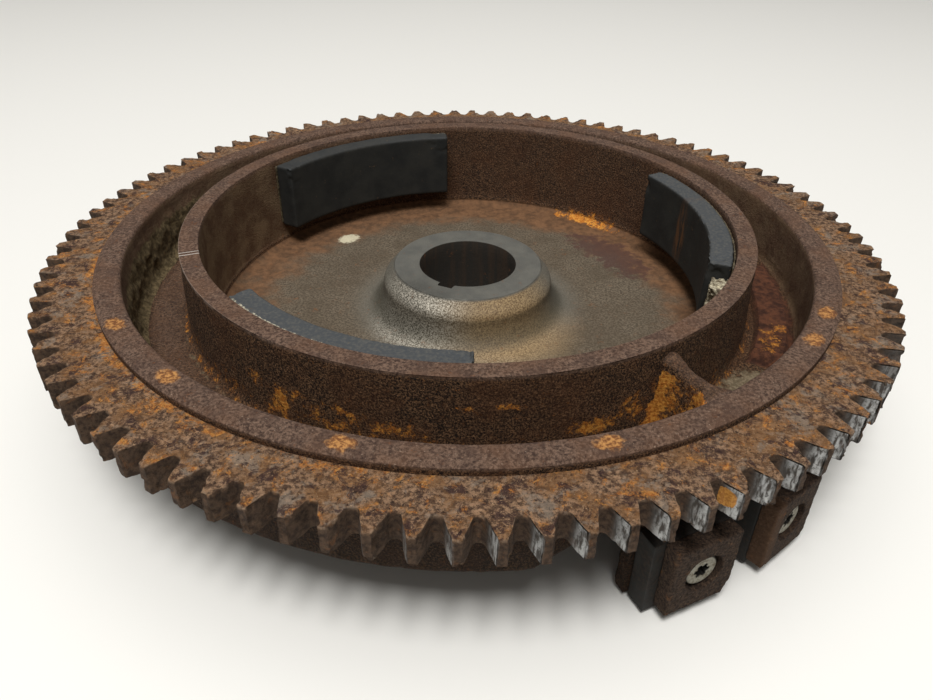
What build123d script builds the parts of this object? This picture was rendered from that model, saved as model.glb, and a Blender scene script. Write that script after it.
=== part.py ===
from build123d import *
import os
from math import acos, cos, degrees, pi, radians, sin, tan

# Flywheel of a small air-cooled engine, in millimetres.
# Origin: on the bore axis at the machined hub face. +Z points out of that face, towards the engine.
# Azimuths are degrees about +Z from +X. The +Z side carries the alternator magnets, and the two
# ignition pole stacks hang below the ring gear.

# How far a piece runs on into the solid it joins, and a cut past the face it opens
OVERLAP = 1.0

# Hub and bore
BORE_R = 15.0
HUB_FACE_R = 22.8
HUB_SHOULDER_R = 26.4
HUB_SHOULDER_Z = -4.2
HUB_BASE_R = 26.8
HUB_REAR_R = 36.0
HUB_REAR_Z = -29.6
HUB_FACE_EDGE = 0.3
HUB_SHOULDER_FILLET = 4.0
HUB_FOOT_FILLET = 7.5
REAR_BOSS_FILLET = 5.0
REAR_BOSS_EDGE = 1.0
KEYWAY_WIDTH = 4.76
KEYWAY_DEPTH = 2.0
KEYWAY_AZIMUTH = 251.0

# Tapped holes in the rear boss, for the starter cup and the fan
CUP_BOLT_COUNT = 4
CUP_BOLT_PCD = 54.0
CUP_BOLT_R = 3.4
CUP_BOLT_DEPTH = 10.0
CUP_BOLT_FIRST_AZIMUTH = 45.0

# Web, alternator collar and the channel round it
POCKET_FLOOR_Z = -14.0
WEB_UNDERSIDE_Z = -21.0
WEB_UNDERSIDE_R = 86.0
COLLAR_INNER_R = 78.0
COLLAR_OUTER_R = 83.4
COLLAR_FOOT_R = 84.6
COLLAR_TOP_Z = 17.0
CHANNEL_FLOOR_Z = -6.0
CHANNEL_FOOT_R = 98.2
MACHINED_EDGE = 0.3
POCKET_FILLET = 3.5
COLLAR_FOOT_FILLET = 2.5
CAST_FILLET = 3.0

# Rim, with a shoulder and a seat for the ring gear
LAND_INNER_R = 99.0
LAND_BEVEL_R = 104.7
LAND_BEVEL_Z = 11.9
LAND_TOP_Z = 12.7
SEAT_R = 106.0
RIM_R = 112.0
RIM_BOTTOM_Z = -11.4
RIM_UNDERSIDE_R = 89.0
RIM_EDGE = 1.0

# Rib across the channel, behind the ignition magnets
RIB_AZIMUTH = 309.0
RIB_TOP_Z = 12.4
RIB_TOP_WIDTH = 3.2
RIB_FOOT_WIDTH = 7.0
RIB_ROOT = 2.0

# Raised balance pad on the channel floor
PAD_START_AZIMUTH = 332.0
PAD_END_AZIMUTH = 371.0
PAD_INNER_R = 87.4
PAD_OUTER_R = 97.2
PAD_HEIGHT = 2.2
PAD_CORNER = 3.0

# Ring gear: 10 diametral pitch, 94 teeth, 20 degree pressure angle
TOOTH_COUNT = 94
MODULE = 2.54
PRESSURE_ANGLE = 20.0
FIRST_TOOTH_AZIMUTH = -16.81
PITCH_R = TOOTH_COUNT * MODULE / 2
TIP_R = PITCH_R + MODULE
FLANK_FOOT_R = PITCH_R - MODULE
ROOT_R = PITCH_R - 1.25 * MODULE
ROOT_FLAT_SHARE = 0.5
GEAR_TOP_Z = 10.0
GEAR_BOTTOM_Z = 2.4
TOOTH_BEVEL = 0.5
TOOTH_THINNING = 0.12
FLANK_STEPS = 5

# Alternator magnets, glued inside the collar
MAGNET_AZIMUTHS = (9.2, 127.9, 249.8)
MAGNET_HALF_SPAN = 26.4
MAGNET_INNER_R = 70.6
MAGNET_OUTER_R = 77.3
MAGNET_BOTTOM_Z = -6.7
MAGNET_TOP_Z = 15.5
MAGNET_BEVEL = 0.4
GLUE_BOTTOM_Z = -6.2
GLUE_TOP_Z = 15.0

# Lump of glue squeezed out at the end of the first magnet
LUMP_SPAN = 5.6
LUMP_INNER_R = 72.6
LUMP_BOTTOM_Z = -5.0
LUMP_TOP_Z = 11.5
LUMP_ROUNDING = 1.6

# Ignition pole stacks: each is lug, ceramic magnet, steel pole shoe and one screw
STACK_AZIMUTHS = (300.5, 314.2)
LUG_INNER_D = 104.3
LUG_OUTER_D = 108.2
LUG_END = 12.6
LUG_BOTTOM_Z = -28.6
LUG_BOSS_R = 6.5
LUG_BOSS_D = 97.0
POLE_MAGNET_OUTER_D = 113.8
POLE_MAGNET_OVERHANG = 11.4
POLE_MAGNET_BOTTOM_Z = -28.6
POLE_MAGNET_TOP_Z = -7.9
SHOE_OUTER_D = 118.0
SHOE_HALF_WIDTH = 8.7
SHOE_BOTTOM_Z = -26.8
SHOE_TOP_Z = -7.6
SHOE_CORNERS = ((1.8, 4.5), (1.0, 2.2))
SHOE_EDGE = 0.4

# Clearance that the rim gives the stacks
RECESS_R = 105.0
RECESS_HALF_ANGLE = 17.8
RECESS_MOUTH_HALF_ANGLE = 25.4
RECESS_CUT_R = 132.0

# Pole screws: pan head with a six-lobe socket
SCREW_Z = -17.0
SCREW_R = 2.5
SCREW_HOLE_R = 2.52
SCREW_TIP_D = 99.0
HEAD_R = 4.2
HEAD_SEAT_D = 114.6
HEAD_FACE_D = 117.0
HEAD_ROUNDING = 0.7
COUNTERBORE_R = 4.9
SOCKET_LOBES = 6
SOCKET_LOBE_R = 1.5
SOCKET_LOBE_TIP_R = 0.6
SOCKET_DEPTH = 1.4


def polar(radius, azimuth, z=0.0):
    """A point at a radius and azimuth about the flywheel's axis."""
    return (radius * cos(radians(azimuth)), radius * sin(radians(azimuth)), z)


def turned(corners):
    """A solid of revolution about Z from closed (radius, z, fillet) corners."""
    points = [(radius, 0, z) for radius, z, _ in corners]
    fillets = [fillet for _, _, fillet in corners]
    outline = FilletPolyline(*points, radius=fillets, close=True)
    return revolve(make_face(outline.edges()), Axis.Z)


def sector(inner_r, outer_r, azimuth, half_span, bottom, top):
    """An arc-shaped block with radial ends."""
    start = azimuth - half_span
    outer = CenterArc((0, 0), outer_r, start, 2 * half_span)
    inner = CenterArc((0, 0), inner_r, start, 2 * half_span)
    ends = [Line(inner @ 0, outer @ 0), Line(inner @ 1, outer @ 1)]
    face = make_face([outer, inner] + ends)
    return Pos(0, 0, bottom) * extrude(face, top - bottom)


def facing(azimuth, distance, z=0.0):
    """A location whose Z points outwards at an azimuth, with its Y along the flywheel's axis."""
    across = (-sin(radians(azimuth)), cos(radians(azimuth)), 0)
    outwards = (cos(radians(azimuth)), sin(radians(azimuth)), 0)
    plane = Plane(origin=polar(distance, azimuth, z), x_dir=across, z_dir=outwards)
    return Location(plane)


def block(azimuth, near_d, far_d, left, right, bottom, top):
    """A flat-sided block that stands square to the radius at an azimuth."""
    face = Pos((left + right) / 2, (bottom + top) / 2) * Rectangle(right - left, top - bottom)
    return facing(azimuth, near_d) * extrude(face, far_d - near_d)


def rod(azimuth, near_d, far_d, radius):
    """A round bar along the radius at an azimuth, at the height of the pole screws."""
    return facing(azimuth, near_d, SCREW_Z) * extrude(Circle(radius), far_d - near_d)


def turned_body():
    """Everything in the casting that is round about the axis."""
    return turned(
        [
            (BORE_R, 0, 0),
            (HUB_FACE_R, 0, HUB_FACE_EDGE),
            (HUB_SHOULDER_R, HUB_SHOULDER_Z, HUB_SHOULDER_FILLET),
            (HUB_BASE_R, POCKET_FLOOR_Z, HUB_FOOT_FILLET),
            (COLLAR_INNER_R, POCKET_FLOOR_Z, POCKET_FILLET),
            (COLLAR_INNER_R, COLLAR_TOP_Z, MACHINED_EDGE),
            (COLLAR_OUTER_R, COLLAR_TOP_Z, MACHINED_EDGE),
            (COLLAR_FOOT_R, CHANNEL_FLOOR_Z, COLLAR_FOOT_FILLET),
            (CHANNEL_FOOT_R, CHANNEL_FLOOR_Z, CAST_FILLET),
            (LAND_INNER_R, LAND_TOP_Z, MACHINED_EDGE),
            (LAND_BEVEL_R, LAND_TOP_Z, 0),
            (SEAT_R, LAND_BEVEL_Z, 0),
            (SEAT_R, GEAR_BOTTOM_Z, 0),
            (RIM_R, GEAR_BOTTOM_Z, 0),
            (RIM_R, RIM_BOTTOM_Z, RIM_EDGE),
            (RIM_UNDERSIDE_R, RIM_BOTTOM_Z, CAST_FILLET),
            (WEB_UNDERSIDE_R, WEB_UNDERSIDE_Z, CAST_FILLET),
            (HUB_REAR_R, WEB_UNDERSIDE_Z, REAR_BOSS_FILLET),
            (HUB_REAR_R, HUB_REAR_Z, REAR_BOSS_EDGE),
            (BORE_R, HUB_REAR_Z, 0),
        ]
    )


def keyway():
    """The slot that runs the length of the bore."""
    length = -HUB_REAR_Z
    reach = BORE_R + KEYWAY_DEPTH
    centre = polar(reach / 2, KEYWAY_AZIMUTH, HUB_REAR_Z / 2)
    return Location(centre, (0, 0, KEYWAY_AZIMUTH)) * Box(reach, KEYWAY_WIDTH, length)


def cup_bolt_holes():
    """Blind tapped holes in the rear face, at their tapping size."""
    places = PolarLocations(CUP_BOLT_PCD / 2, CUP_BOLT_COUNT, CUP_BOLT_FIRST_AZIMUTH)
    holes = [place * Circle(CUP_BOLT_R) for place in places]
    return [Pos(0, 0, HUB_REAR_Z) * extrude(hole, CUP_BOLT_DEPTH) for hole in holes]


def channel_rib():
    """A tapered rib from the collar to the rim."""
    height = RIB_TOP_Z - CHANNEL_FLOOR_Z + RIB_ROOT
    section = Polyline(
        (-RIB_FOOT_WIDTH / 2, -height),
        (-RIB_TOP_WIDTH / 2, 0),
        (RIB_TOP_WIDTH / 2, 0),
        (RIB_FOOT_WIDTH / 2, -height),
        close=True,
    )
    start = COLLAR_OUTER_R - OVERLAP
    end = LAND_INNER_R + OVERLAP
    return facing(RIB_AZIMUTH, start, RIB_TOP_Z) * extrude(make_face(section), end - start)


def balance_pad():
    """A low raised patch on the channel floor, sunk a little into it."""
    middle = (PAD_START_AZIMUTH + PAD_END_AZIMUTH) / 2
    half_span = (PAD_END_AZIMUTH - PAD_START_AZIMUTH) / 2
    bottom = CHANNEL_FLOOR_Z - OVERLAP
    top = CHANNEL_FLOOR_Z + PAD_HEIGHT
    pad = sector(PAD_INNER_R, PAD_OUTER_R, middle, half_span, bottom, top)
    return fillet(pad.edges().filter_by(Axis.Z), PAD_CORNER)


def stack_recess():
    """The shallow bay in the rim that the pole stacks sit in, with a ramp at each end."""
    middle = sum(STACK_AZIMUTHS) / 2
    floor = CenterArc((0, 0), RECESS_R, middle - RECESS_HALF_ANGLE, 2 * RECESS_HALF_ANGLE)
    mouth_start = polar(RIM_R, middle - RECESS_MOUTH_HALF_ANGLE)[:2]
    mouth_end = polar(RIM_R, middle + RECESS_MOUTH_HALF_ANGLE)[:2]
    beyond_start = polar(RECESS_CUT_R, middle - RECESS_MOUTH_HALF_ANGLE)[:2]
    beyond_end = polar(RECESS_CUT_R, middle + RECESS_MOUTH_HALF_ANGLE)[:2]
    sides = Polyline(floor @ 1, mouth_end, beyond_end, beyond_start, mouth_start, floor @ 0)
    bottom = RIM_BOTTOM_Z - OVERLAP
    return Pos(0, 0, bottom) * extrude(make_face([floor, sides]), GEAR_BOTTOM_Z - bottom)


def pole_lug():
    """The cast lug that carries both stacks: two flats that meet between the stacks."""
    first, second = STACK_AZIMUTHS
    half_turn = radians(second - first) / 2
    parts = []
    for azimuth, side in ((first, -1), (second, 1)):
        end = side * LUG_END
        inner_meet = -side * LUG_INNER_D * tan(half_turn)
        outer_meet = -side * LUG_OUTER_D * tan(half_turn)
        outline = Polyline(
            (LUG_INNER_D, end),
            (LUG_OUTER_D, end),
            (LUG_OUTER_D, outer_meet),
            (LUG_INNER_D, inner_meet),
            close=True,
        )
        flat = extrude(make_face(outline), GEAR_BOTTOM_Z - LUG_BOTTOM_Z)
        parts.append(Location((0, 0, LUG_BOTTOM_Z), (0, 0, azimuth)) * flat)
        parts.append(rod(azimuth, LUG_BOSS_D, LUG_OUTER_D, LUG_BOSS_R))
    return parts


def flywheel_casting():
    """The one-piece iron casting: hub, web, collar, rim, rib, balance pad and pole lug."""
    body = turned_body() - stack_recess()
    body = body + channel_rib() + balance_pad() + pole_lug()
    screw_holes = [
        rod(azimuth, LUG_BOSS_D, LUG_OUTER_D + OVERLAP, SCREW_HOLE_R)
        for azimuth in STACK_AZIMUTHS
    ]
    return body - keyway() - cup_bolt_holes() - screw_holes


def involute(angle):
    """The involute function of a pressure angle in radians."""
    return tan(angle) - angle


def tooth_half_angle(radius):
    """Half of a tooth's angular thickness, in radians, at a radius."""
    base_r = PITCH_R * cos(radians(PRESSURE_ANGLE))
    at_pitch = pi / (2 * TOOTH_COUNT) - TOOTH_THINNING / (2 * PITCH_R)
    return at_pitch + involute(radians(PRESSURE_ANGLE)) - involute(acos(base_r / radius))


def tooth_points(azimuth):
    """One tooth's outline from root to tip to root, with the middle of the next root."""
    step = (TIP_R - FLANK_FOOT_R) / FLANK_STEPS
    radii = [FLANK_FOOT_R + step * i for i in range(FLANK_STEPS + 1)]
    rising = [polar(r, azimuth - degrees(tooth_half_angle(r)))[:2] for r in radii]
    falling = [polar(r, azimuth + degrees(tooth_half_angle(r)))[:2] for r in reversed(radii)]
    gap_middle = azimuth + 180 / TOOTH_COUNT
    gap_half_angle = 180 / TOOTH_COUNT - degrees(tooth_half_angle(FLANK_FOOT_R))
    root_half_angle = ROOT_FLAT_SHARE * gap_half_angle
    root = [polar(ROOT_R, gap_middle + side * root_half_angle)[:2] for side in (-1, 1)]
    return rising + falling + root


def ring_gear():
    """The steel starter ring gear, with its tooth tips bevelled on both faces."""
    outline = []
    for tooth in range(TOOTH_COUNT):
        outline += tooth_points(FIRST_TOOTH_AZIMUTH + 360 * tooth / TOOTH_COUNT)
    toothed = make_face(Polyline(*outline, close=True)) - Circle(SEAT_R)
    teeth = Pos(0, 0, GEAR_BOTTOM_Z) * extrude(toothed, GEAR_TOP_Z - GEAR_BOTTOM_Z)
    envelope = turned(
        [
            (SEAT_R - OVERLAP, GEAR_BOTTOM_Z, 0),
            (TIP_R - TOOTH_BEVEL, GEAR_BOTTOM_Z, 0),
            (TIP_R, GEAR_BOTTOM_Z + TOOTH_BEVEL, 0),
            (TIP_R, GEAR_TOP_Z - TOOTH_BEVEL, 0),
            (TIP_R - TOOTH_BEVEL, GEAR_TOP_Z, 0),
            (SEAT_R - OVERLAP, GEAR_TOP_Z, 0),
        ]
    )
    return teeth & envelope


def rotor_magnet(azimuth):
    """One ceramic arc magnet of the alternator."""
    arc = sector(
        MAGNET_INNER_R, MAGNET_OUTER_R, azimuth, MAGNET_HALF_SPAN, MAGNET_BOTTOM_Z, MAGNET_TOP_Z
    )
    return chamfer(arc.edges(), MAGNET_BEVEL)


def glue_layer(azimuth):
    """The thin bed of glue between a magnet and the collar."""
    return sector(
        MAGNET_OUTER_R, COLLAR_INNER_R, azimuth, MAGNET_HALF_SPAN, GLUE_BOTTOM_Z, GLUE_TOP_Z
    )


def glue_lump(azimuth):
    """The squeezed-out lump that lies against the magnet's end and the collar."""
    middle = azimuth - MAGNET_HALF_SPAN - LUMP_SPAN / 2
    lump = sector(
        LUMP_INNER_R, COLLAR_INNER_R, middle, LUMP_SPAN / 2, LUMP_BOTTOM_Z, LUMP_TOP_Z
    )
    free_corner = lump.edges().filter_by(Axis.Z).sort_by(Axis.X)[0]
    return fillet(free_corner, LUMP_ROUNDING)


def pole_magnet(azimuth, side):
    """The ceramic block of a stack, which overhangs its shoe on the side away from the other."""
    left, right = sorted((side * POLE_MAGNET_OVERHANG, -side * SHOE_HALF_WIDTH))
    magnet = block(
        azimuth, LUG_OUTER_D, POLE_MAGNET_OUTER_D, left, right, POLE_MAGNET_BOTTOM_Z, POLE_MAGNET_TOP_Z
    )
    hole = rod(azimuth, LUG_OUTER_D - OVERLAP, POLE_MAGNET_OUTER_D + OVERLAP, SCREW_HOLE_R)
    return magnet - hole


def pole_shoe(azimuth, corner):
    """The steel shoe that faces the ignition coil, with a counterbore for the screw's head."""
    corner_width, corner_height = corner
    outline = Polyline(
        (-SHOE_HALF_WIDTH, SHOE_BOTTOM_Z),
        (SHOE_HALF_WIDTH - corner_width, SHOE_BOTTOM_Z),
        (SHOE_HALF_WIDTH, SHOE_BOTTOM_Z + corner_height),
        (SHOE_HALF_WIDTH, SHOE_TOP_Z),
        (-SHOE_HALF_WIDTH, SHOE_TOP_Z),
        close=True,
    )
    shoe = extrude(make_face(outline), SHOE_OUTER_D - POLE_MAGNET_OUTER_D)
    shoe = chamfer(shoe.faces().sort_by(Axis.Z)[-1].edges(), SHOE_EDGE)
    shoe = facing(azimuth, POLE_MAGNET_OUTER_D) * shoe
    shank_hole = rod(azimuth, POLE_MAGNET_OUTER_D - OVERLAP, SHOE_OUTER_D + OVERLAP, SCREW_HOLE_R)
    counterbore = rod(azimuth, HEAD_SEAT_D, SHOE_OUTER_D + OVERLAP, COUNTERBORE_R)
    return shoe - shank_hole - counterbore


def socket():
    """The outline of a six-lobe drive socket."""
    lobes = [loc * Circle(SOCKET_LOBE_TIP_R) for loc in PolarLocations(SOCKET_LOBE_R, SOCKET_LOBES)]
    return Circle(SOCKET_LOBE_R) + lobes


def pole_screw(azimuth):
    """A pan-head screw through shoe and magnet into the lug."""
    head = extrude(Circle(HEAD_R), HEAD_FACE_D - HEAD_SEAT_D)
    head = fillet(head.edges().sort_by(Axis.Z)[-1], HEAD_ROUNDING)
    socket_floor = HEAD_FACE_D - HEAD_SEAT_D - SOCKET_DEPTH
    drive = Pos(0, 0, socket_floor) * extrude(socket(), SOCKET_DEPTH + OVERLAP)
    head = facing(azimuth, HEAD_SEAT_D, SCREW_Z) * (head - drive)
    return head + rod(azimuth, SCREW_TIP_D, HEAD_SEAT_D, SCREW_R)


def build():
    """Every node of the assembly, by name."""
    nodes = {"flywheel_casting": flywheel_casting(), "ring_gear": ring_gear()}
    for number, azimuth in enumerate(MAGNET_AZIMUTHS, 1):
        nodes[f"rotor_magnet_{number}"] = rotor_magnet(azimuth)
        nodes[f"magnet_adhesive_{number}"] = glue_layer(azimuth)
    nodes["magnet_adhesive_1"] += glue_lump(MAGNET_AZIMUTHS[0])
    for number, (azimuth, side) in enumerate(zip(STACK_AZIMUTHS, (-1, 1)), 1):
        nodes[f"ignition_magnet_{number}"] = pole_magnet(azimuth, side)
        nodes[f"pole_shoe_{number}"] = pole_shoe(azimuth, SHOE_CORNERS[number - 1])
        nodes[f"pole_screw_{number}"] = pole_screw(azimuth)
    return nodes


os.makedirs("parts", exist_ok=True)
for name, shape in build().items():
    export_step(shape, f"parts/{name}.step")
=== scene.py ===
from math import acos, cos, pi, radians, sin, tan

import bmesh
import bpy
import numpy as np
from mathutils import Matrix, Vector, noise


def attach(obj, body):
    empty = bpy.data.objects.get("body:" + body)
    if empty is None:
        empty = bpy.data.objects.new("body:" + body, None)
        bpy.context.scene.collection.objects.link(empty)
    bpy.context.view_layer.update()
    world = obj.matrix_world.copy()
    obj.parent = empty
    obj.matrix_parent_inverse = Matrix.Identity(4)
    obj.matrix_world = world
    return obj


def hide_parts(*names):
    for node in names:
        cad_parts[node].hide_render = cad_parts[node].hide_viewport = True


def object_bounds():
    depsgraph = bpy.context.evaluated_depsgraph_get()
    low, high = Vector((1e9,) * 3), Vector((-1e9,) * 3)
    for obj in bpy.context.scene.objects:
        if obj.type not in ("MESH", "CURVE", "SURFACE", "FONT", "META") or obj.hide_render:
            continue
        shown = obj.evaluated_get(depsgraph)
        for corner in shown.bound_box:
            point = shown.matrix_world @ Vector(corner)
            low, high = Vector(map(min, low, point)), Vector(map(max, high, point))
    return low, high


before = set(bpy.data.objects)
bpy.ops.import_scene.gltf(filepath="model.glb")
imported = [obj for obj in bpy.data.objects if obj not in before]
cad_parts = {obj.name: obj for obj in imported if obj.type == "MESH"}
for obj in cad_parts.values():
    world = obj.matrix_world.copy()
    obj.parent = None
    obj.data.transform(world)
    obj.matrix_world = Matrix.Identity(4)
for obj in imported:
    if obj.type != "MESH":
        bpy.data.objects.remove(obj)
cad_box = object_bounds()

# The rusted flywheel of a small engine, in the row frame. Lengths are written in millimetres and
# turned into metres by MM. Azimuths are degrees about +Z from +X.
MM = 0.001
SHARP_ANGLE = radians(40)

# Camera: lens in millimetres on a 36 mm sensor, angles in degrees
CAMERA_PLACE = (17.9, -213.8, 114.1)
CAMERA_PITCH = 34.49
CAMERA_YAW = 4.784
CAMERA_ROLL = 0.837
CAMERA_LENS = 29.75

# Levels and radii of the casting
BORE_R = 15.0
HUB_FACE_R = 22.8
POCKET_FLOOR_Z = -14.0
COLLAR_IN_R = 78.0
COLLAR_TOP_Z = 17.0
CHANNEL_FLOOR_Z = -6.0
RIM_WALL_R = 98.6
LAND_Z = 12.7
GEAR_SEAT_R = 106.0
GEAR_Z = (2.4, 10.0)
RIM_R = 112.0
RIM_BOTTOM_Z = -11.4
WEB_BOTTOM_Z = -21.0
REAR_BOSS_R = 36.0
REAR_FACE_Z = -29.6

# The casting's outline, as radius, z, fillet, spacing of points and depth of the cast texture.
# Spacing and texture belong to the run that starts at the corner.
CASTING_COLUMNS = 384
ARC_STEP = 0.8  # greatest spacing of points round a fillet
CASTING_OUTLINE = [
    (BORE_R, 0.0, 0.3, 2.0, 0.02),  # hub face
    (HUB_FACE_R, 0.0, 0.3, 0.8, 0.12),  # hub shoulder
    (26.4, -4.2, 4.0, 0.9, 0.12),  # hub flank
    (26.8, POCKET_FLOOR_Z, 7.5, 2.2, 0.16),  # pocket floor
    (COLLAR_IN_R, POCKET_FLOOR_Z, 3.5, 1.5, 0.20),  # collar, inside
    (COLLAR_IN_R, COLLAR_TOP_Z, 0.3, 1.35, 0.05),  # collar top
    (83.4, COLLAR_TOP_Z, 0.3, 1.0, 0.40),  # collar, outside
    (84.6, CHANNEL_FLOOR_Z, 2.5, 1.2, 0.30),  # channel floor
    (98.2, CHANNEL_FLOOR_Z, 3.0, 1.0, 0.40),  # channel, outer wall
    (99.0, LAND_Z, 1.2, 1.2, 0.16),  # land
    (104.7, LAND_Z, 0.5, 1.0, 0.16),  # bevel of the land
    (GEAR_SEAT_R, 11.9, 0.0, 1.0, 0.0),  # shoulder above the ring gear
    (GEAR_SEAT_R, GEAR_Z[1], 0.0, 4.0, 0.0),  # seat of the ring gear
    (GEAR_SEAT_R, GEAR_Z[0], 0.0, 3.0, 0.0),  # ledge under the ring gear
    (RIM_R, GEAR_Z[0], 0.3, 1.2, 0.45),  # rim, outside
    (RIM_R, RIM_BOTTOM_Z, 1.0, 5.0, 0.35),  # rim, underside
    (89.0, RIM_BOTTOM_Z, 3.0, 3.0, 0.35),  # step down to the web
    (86.0, WEB_BOTTOM_Z, 3.0, 6.0, 0.35),  # web, underside
    (REAR_BOSS_R, WEB_BOTTOM_Z, 5.0, 4.0, 0.25),  # rear boss, side
    (REAR_BOSS_R, REAR_FACE_Z, 1.0, 5.0, 0.02),  # rear boss, face
    (BORE_R, REAR_FACE_Z, 0.3, 4.0, 0.02),  # bore
]

# Cut-outs of the round casting
KEYWAY_AZIMUTH = 251.0
KEYWAY_HALF_WIDTH = 2.38
KEYWAY_FLOOR_D = 17.0
KEYWAY_REACH_R = 17.4
STACK_AZIMUTHS = (300.5, 314.2)
RECESS_R = 105.0
RECESS_ANGLES = (17.8, 25.4)
LEVEL_MARGIN = 0.1
CUP_BOLT_R = 3.4
CUP_BOLT_CIRCLE_R = 27.0
CUP_BOLT_AZIMUTHS = (45, 135, 225, 315)
CUP_BOLT_Z = (REAR_FACE_Z - 2.0, REAR_FACE_Z + 10.0)

# Rib and lug of the casting. The rib's section is (across, up) from its top.
RIB_AZIMUTH = 309.0
RIB_D = (82.4, 100.0)
RIB_TOP_Z = 12.4
RIB_SECTION = [(-3.9, -20.4), (-2.3, -1.3), (0.0, 0.5), (2.3, -1.3), (3.9, -20.4)]
RIB_RIM_FLARE = 1.3
RIB_COLLAR_FLARE = 0.25
RIB_CLIMB = 2.0
LUG_D = (104.3, 108.2)
LUG_HALF_WIDTH = 12.6
LUG_Z = (-28.6, 2.4)
LUG_BOSS_D = (97.0, 108.0)
LUG_BOSS_R = 6.5
SCREW_Z = -17.0
SCREW_FACE_D = 117.2
SOCKET_DEPTH = 0.5

# Balance pad on the channel floor. Half spans and widths run from its top to its foot.
PAD_AZIMUTH = 353.4
PAD_HALF_SPAN = (16.4, 17.6)
PAD_R = 92.3
PAD_HALF_WIDTH = (4.0, 4.9)
PAD_HEIGHT = 2.2

# Caked dirt in the channel, and the cream lump in the pocket, whose radii are of its top and foot
LEFT_DIRT_AZIMUTH = 188
RIGHT_DIRT_AZIMUTH = 325
DIRT_R = (95.5, 99.2)
DIRT_HEIGHT = 0.5
DIRT_ROUGHNESS = 0.6
LUMP_PLACE = (140, 62)
LUMP_R = (1.2, 2.8)
LUMP_MM_PER_DEGREE = 1.08
LUMP_SQUASH = 1.4
LUMP_HEIGHT = 0.9
LUMP_ROUGHNESS = 0.4

# Limits of the casting's regions. The low limits keep colours and lumps off the underside.
CHANNEL_Z = (-9.0, 0.0)
POCKET_Z = (-15.0, 1.0)
LUMP_Z = (-16.0, -12.0)
COLLAR_WALL_Z = (-12.0, 16.5)
COLLAR_OUTER_Z = (-9.0, 15.0)
COLLAR_OUTER_R = (82.5, 86.0)
RIM_WALL_TOP_Z = 11.6
WALL_DEPTH = 0.9
HUB_FOOT_R = 28.2
HUB_FOOT_Z = (-14.0, -5.0)

# Patches on level faces, as (azimuth, radius) and (half width in degrees, in millimetres)
# The hub's silver patch is bare metal with a painted highlight where the flank faces the light.
HUB_SILVER = ((238, 26), (46, 12))
HUB_GOLD = ((300, 28), (64, 18))
# The floor's silver patch is bare metal with painted glints.
FLOOR_SILVER = ((272, 56), (58, 28))
FLOOR_TAN = ((330, 28), (50, 16))
FLOOR_PURPLE = ((38, 62), (34, 14))
FLOOR_ORANGE = ((58, 76), (18, 3.5))
CREAM_PATCH = (LUMP_PLACE, (6.4, 5.4))
SMOOTH_CHANNEL = ((200, 91), (60, 9))
CHANNEL_DUST = ((325, 93), (13, 13))
COLLAR_FOOT_DUST = ((222, 86.4), (40, 1.6))
PAD_ORANGE = ((343, 92), (11, 6))
LAND_SPOTS = [(219, 103), (235, 102.6), (261, 102.8), (291, 102.6), (329, 102.8), (337, 102.8)]
LAND_SPOT_SIZE = (3.6, 4.6)

# Patches on upright faces and edges, as (azimuth, z) and (half width in degrees, half height)
# The side-wall tan patches are partly stain and partly painted light where the walls fall in shade.
COLLAR_STAIN = ((180, 0), (75, 80))
RIM_WALL_STAINS = [((8, 0), (70, 80)), ((180, 0), (70, 80))]
# The collar's outer edge is worn, and made lighter there also as a painted highlight.
COLLAR_EDGE_WEAR = ((198, 17), (52, 4))
SCRATCH_AZIMUTH = 206
SCRATCHES = ((SCRATCH_AZIMUTH, 17), (6, 4))
RIB_FOOT_ORANGE = ((308.6, 4), (3.4, 8))
MAGNET_STAIN = ((17, 4), (3.5, 14))
TOOTH_CHIP = ((300.0, 6.6), (0.8, 3.4))

# Orange blooms on the collar's outside: azimuth, z, half width in degrees, half height and strength
COLLAR_BLOOMS = [
    (237.5, 4.5, 3.0, 3.0, 0.65),
    (243.5, 1.5, 3.6, 6.0, 0.55),
    (247.0, 4.5, 2.0, 2.5, 0.6),
    (254.0, 2.0, 8.0, 6.0, 0.4),
    (264.0, 1.5, 8.0, 4.0, 0.36),
    (281.0, 9.0, 4.0, 1.6, 0.7),
    (274.5, 8.2, 3.5, 1.2, 0.6),
    (295.0, 0.5, 7.0, 4.0, 0.42),
    (301.5, 3.5, 4.5, 5.5, 0.44),
]

# Ring gear
TOOTH_COUNT = 94
MODULE = 2.54
PRESSURE_ANGLE = radians(20)
TOOTH_THINNING = 0.12
FIRST_TOOTH_AZIMUTH = -16.81
PITCH_R = TOOTH_COUNT * MODULE / 2
TIP_R = PITCH_R + MODULE
FLANK_FOOT_R = PITCH_R - MODULE
ROOT_R = PITCH_R - 1.25 * MODULE
ROOT_FLAT_SHARE = 0.5
GEAR_EDGE = 0.35
COLUMNS_PER_TOOTH = 32
FLANK_POINTS = 8
GEAR_TOP_ROWS = 14
GEAR_SIDE_ROWS = 9
GEAR_BOTTOM_ROWS = 6
STRUCK_AZIMUTH = 300.0
GROOVE_RUST_AZIMUTH = 222.0

# Rotor magnets: how dusty the top of each is, from 0 to 1, and the height of their tops
MAGNET_DUST = {1: 0.5, 2: 0.12, 3: 0.5}
MAGNET_TOP_Z = 15.0

# Floor, surroundings and softboxes. A softbox has a name, place, size in metres and power in watts.
FLOOR_SIZE = 6
FLOOR_COLOUR = (236, 234, 228)
ROOM_COLOUR = (1.0, 0.985, 0.95, 1.0)
ROOM_STRENGTH = 0.2
SOFTBOXES = [
    ("key_light", (-0.03, -0.58, 1.33), 0.52, 18),
    ("ceiling_light", (0, 0.2, 1.5), 1.5, 9),
]


# ---------------- points and noise


def smooth(value, low, high):
    """0 below low, 1 above high, and a smooth step between them."""
    share = np.clip((value - low) / (high - low), 0, 1)
    return share * share * (3 - 2 * share)


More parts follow.
